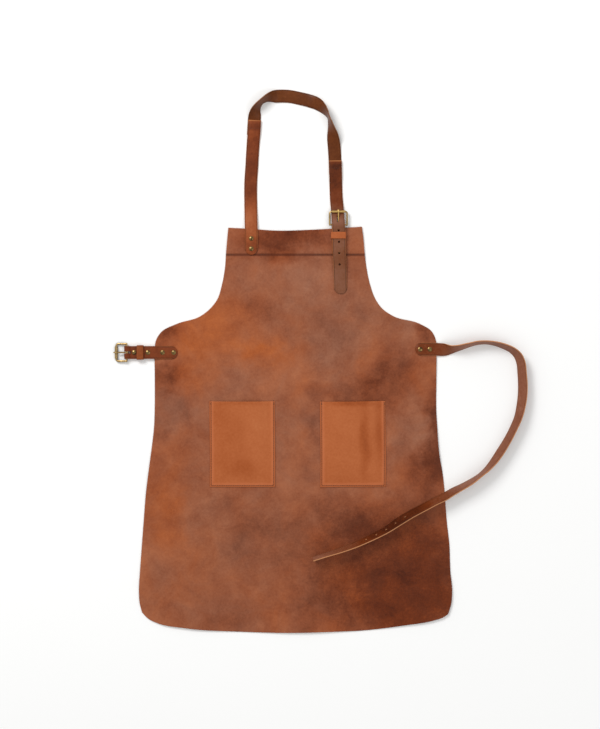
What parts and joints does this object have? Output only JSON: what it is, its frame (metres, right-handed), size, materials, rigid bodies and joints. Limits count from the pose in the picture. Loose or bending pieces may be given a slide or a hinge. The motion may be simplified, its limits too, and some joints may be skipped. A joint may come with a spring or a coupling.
{
  "type": "leather apron",
  "caption": "Leather work apron with a buckled neck loop, a buckled waist strap and two patch pockets, laid flat.",
  "frame": {"origin": "on the apron's back face, on its middle line, level with the waist straps", "axes": "+Y up the apron towards the neck loop, +X to the right as it lies with its front face up, +Z out of the front face"},
  "size_m": [0.8051, 1.0576, 0.0269],
  "materials": {
    "panel_leather": "oiled pull-up leather, reddish brown, scuffed",
    "pocket_leather": "smooth tan leather",
    "strap_leather": "waxed dark brown strap leather with burnished edges",
    "band_leather": "smooth dark brown leather",
    "keeper_leather": "smooth tan leather",
    "buckle_brass": "antique",
    "rivet_brass": "antique, darkened",
    "thread": "waxed thread"
  },
  "bodies": {
    "apron": {"apron_panel": "panel_leather", "hem_thread": "thread", "pocket_left": "pocket_leather", "pocket_right": "pocket_leather", "pocket_left_thread": "thread", "pocket_right_thread": "thread", "neck_strap_left_anchor": "strap_leather", "neck_billet_tail": "strap_leather", "buckle_strap_anchor": "strap_leather", "waist_tab_anchor": "strap_leather", "waist_strap_anchor": "strap_leather", "neck_strap_left_rivet_caps": "rivet_brass", "neck_strap_left_rivet_studs": "rivet_brass", "buckle_strap_rivet_caps": "rivet_brass", "buckle_strap_rivet_studs": "rivet_brass", "waist_tab_anchor_rivet_caps": "rivet_brass", "waist_tab_anchor_rivet_studs": "rivet_brass", "waist_strap_rivet_caps": "rivet_brass", "waist_strap_rivet_studs": "rivet_brass"},
    "neck_loop": {"neck_strap_left": "strap_leather", "neck_band": "band_leather", "neck_band_thread": "thread", "neck_billet": "strap_leather", "buckle_strap_fold": "strap_leather"},
    "neck_buckle": {"neck_buckle_frame": "buckle_brass"},
    "neck_buckle_roller": {"neck_roller": "buckle_brass"},
    "neck_buckle_prong": {"neck_prong": "buckle_brass"},
    "neck_keeper_loop": {"neck_keeper": "keeper_leather"},
    "waist_tab_end": {"waist_tab": "strap_leather", "waist_tab_fold_rivet_caps": "rivet_brass", "waist_tab_fold_rivet_studs": "rivet_brass"},
    "waist_keeper_loop": {"waist_keeper": "keeper_leather"},
    "waist_buckle": {"waist_buckle_frame": "buckle_brass"},
    "waist_buckle_roller": {"waist_roller": "buckle_brass"},
    "waist_buckle_prong": {"waist_prong": "buckle_brass"},
    "waist_strap_free": {"waist_strap": "strap_leather"}
  },
  "joints": [
    {"name": "neck_loop_fold", "type": "hinge", "parent": "apron", "child": "neck_loop", "pos_m": [0, 0.243, 0.0132], "axis": [1, 0, 0], "range_deg": [0, 120]},
    {"name": "neck_buckle_tilt", "type": "hinge", "parent": "neck_loop", "child": "neck_buckle", "pos_m": [0.0835, 0.2486, 0.0074], "axis": [1, 0, 0], "range_deg": [0, 6]},
    {"name": "neck_roller_turn", "type": "hinge", "parent": "neck_buckle", "child": "neck_buckle_roller", "pos_m": [0.0835, 0.2742, 0.0074], "axis": [1, 0, 0], "continuous": true},
    {"name": "neck_prong_lift", "type": "hinge", "parent": "neck_buckle", "child": "neck_buckle_prong", "pos_m": [0.0835, 0.2486, 0.0074], "axis": [1, 0, 0], "range_deg": [0, 6]},
    {"name": "neck_keeper_slide", "type": "slide", "parent": "apron", "child": "neck_keeper_loop", "axis": [0, 1, 0], "range_m": [-0.003, 0.003]},
    {"name": "waist_tab_fold", "type": "hinge", "parent": "apron", "child": "waist_tab_end", "pos_m": [-0.2785, 0, 0.0066], "axis": [0, 1, 0], "range_deg": [0, 130]},
    {"name": "waist_keeper_slide", "type": "slide", "parent": "waist_tab_end", "child": "waist_keeper_loop", "axis": [1, 0, 0], "range_m": [-0.0005, 0.0035]},
    {"name": "waist_buckle_tilt", "type": "hinge", "parent": "waist_tab_end", "child": "waist_buckle", "pos_m": [-0.329, 0, 0.0052], "axis": [0, 1, 0], "range_deg": [0, 80]},
    {"name": "waist_roller_turn", "type": "hinge", "parent": "waist_buckle", "child": "waist_buckle_roller", "pos_m": [-0.3491, 0, 0.00315], "axis": [0, 1, 0], "continuous": true},
    {"name": "waist_prong_lift", "type": "hinge", "parent": "waist_buckle", "child": "waist_buckle_prong", "pos_m": [-0.329, 0, 0.0052], "axis": [0, 1, 0], "range_deg": [0, 70]},
    {"name": "waist_strap_fold", "type": "hinge", "parent": "apron", "child": "waist_strap_free", "pos_m": [0.2845, 0.0062, 0.0125], "axis": [-0.6428, -0.766, 0], "range_deg": [0, 110]}
  ]
}
